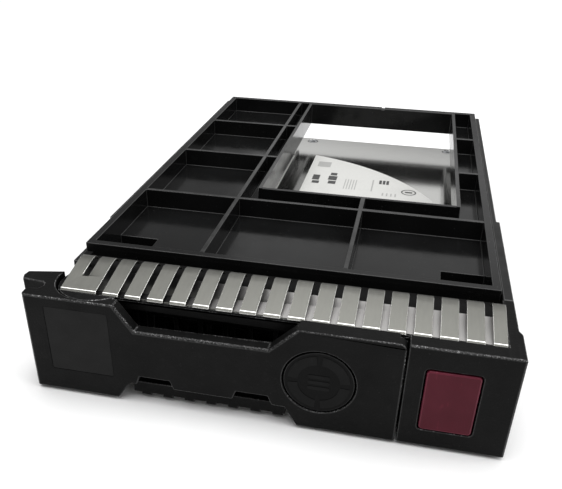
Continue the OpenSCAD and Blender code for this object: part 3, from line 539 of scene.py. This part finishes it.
def bar(x, y, w, h):
    """Outline of a bar with its lower left corner at x, y."""
    return [(x, y), (x + w, y), (x + w, y + h), (x, y + h)]


def ring_parts(cx, cy, rx, ry, width, steps=24):
    """Quads of an oval line."""
    quads = []
    for i in range(steps):
        a, b = (2 * math.pi * k / steps for k in (i, i + 1))
        quads.append([(cx + (rx - d) * math.cos(t), cy + (ry - d) * math.sin(t))
                      for t, d in ((a, 0), (b, 0), (b, width), (a, width))])
    return quads


label_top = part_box("ssd_label")[1].z + INK_LIFT
# Generic marks in the frame's own millimetres: blocks, lines and a ring, with no lettering
pale_marks = [bar(-5.4, 51.6, 5.0, 5.6)]
pale_marks += [bar(7.0 + 1.0 * k, 30.6, 0.35, 9.8) for k in range(5)]
pale_marks += [bar(17.0, 30.6, 0.5, 11.4)]
pale_marks += [bar(21.2 + 1.5 * k, 27.4, 0.5, 2.6) for k in range(4)]
pale_marks += [bar(-4.5 + 6.0 * k, 2.0, 3.4, 18.0) for k in range(3)]
pale_marks += [bar(16.0, 4.0 + 4.0 * k, 16.0, 1.4) for k in range(5)]
dark_marks = [bar(-5.0, 33.8, 2.6, 2.6), bar(-5.4, 37.2, 2.6, 5.2)]
dark_marks += [bar(0.9, 34.4, 2.8, 3.0), bar(0.5, 38.2, 3.2, 4.2), bar(0.9, 43.2, 2.4, 2.6)]
dark_marks += [bar(19.5 + 1.3 * k, 38.4, 0.95, 3.8) for k in range(3)]
dark_marks += ring_parts(30.5, 32.6, 2.7, 2.6, 0.5)
dark_marks += [bar(29.2, 32.0, 2.6, 1.2)]
pale_ink = paper("pale_ink", (0.38, 0.38, 0.37), (0.3, 0.3, 0.29), (0.45, 0.6))
dark_ink = paper("dark_ink", (0.055, 0.055, 0.055), (0.04, 0.04, 0.04), (0.45, 0.6))
flat_marks("label_pale_marks", pale_marks, label_top, pale_ink)
flat_marks("label_dark_marks", dark_marks, label_top, dark_ink)


# ---------------------------------------------------------------- floor, light and camera


def stage_floor():
    """A pale floor, far larger than the object."""
    half = FLOOR_HALF
    corners = [(-half, -half, 0), (half, -half, 0), (half, half, 0), (-half, half, 0)]
    mesh = bpy.data.meshes.new("floor")
    mesh.from_pydata(corners, [], [(0, 1, 2, 3)])
    material, tree, shader = new_material("floor_paper")
    shade = spread(tree, noise(tree, 40, 3.0), 0.3, 0.7, 0.0, 1.0)
    tree.links.new(tint(tree, shade, (0.93, 0.93, 0.93), (0.95, 0.95, 0.95)), shader.inputs["Base Color"])
    shader.inputs["Roughness"].default_value = 0.9
    shader.inputs["Specular IOR Level"].default_value = 0.1
    mesh.materials.append(material)
    floor = bpy.data.objects.new("floor", mesh)
    bpy.context.scene.collection.objects.link(floor)


def soft_light(name, place, aim, size, power):
    """A large white area light at place that looks at aim."""
    data = bpy.data.lights.new(name, "AREA")
    data.shape = "RECTANGLE"
    data.size, data.size_y = size
    data.energy = power
    light = bpy.data.objects.new(name, data)
    bpy.context.scene.collection.objects.link(light)
    light.location = place
    light.rotation_mode = "QUATERNION"
    light.rotation_quaternion = (Vector(aim) - Vector(place)).to_track_quat("-Z", "Y")


def make_world(strength):
    """An even, neutral surround."""
    world = bpy.data.worlds.new("surround")
    world.use_nodes = True
    shader = world.node_tree.nodes["Background"]
    shader.inputs["Color"].default_value = (1, 1, 1, 1)
    shader.inputs["Strength"].default_value = strength
    bpy.context.scene.world = world


def make_camera(place, right, up, back, lens, shift):
    """A camera from its place and its three axes."""
    data = bpy.data.cameras.new("camera")
    data.lens = lens
    data.sensor_width = SENSOR_WIDTH
    data.shift_x, data.shift_y = shift
    data.clip_start, data.clip_end = CLIP
    camera = bpy.data.objects.new("camera", data)
    bpy.context.scene.collection.objects.link(camera)
    turn = Matrix((right, up, back)).transposed().to_4x4()
    camera.matrix_world = Matrix.Translation(place) @ turn
    bpy.context.scene.camera = camera


stage_floor()
make_world(0.3)
soft_light("ceiling", (-0.05, -0.05, 1.2), (0, 0, 0), (1.5, 1.5), 20)
soft_light("side_panel", (1.1, -0.1, 0.75), (0, 0, 0), (1.0, 0.8), 6)
soft_light("back_panel", (0.35, 1.3, 0.8), (0.05, 0.0, 0.02), (1.6, 0.7), 1.6)
make_camera(
    place=Vector((0.02825, -0.20273, 0.10494)),
    right=Vector((0.97547, 0.21983, 0.01167)),
    up=Vector((-0.12349, 0.50258, 0.85567)),
    back=Vector((0.18224, -0.83612, 0.5174)),
    lens=43.596,
    shift=(0.035, 0.1),
)
bpy.context.scene.view_settings.view_transform = "Standard"
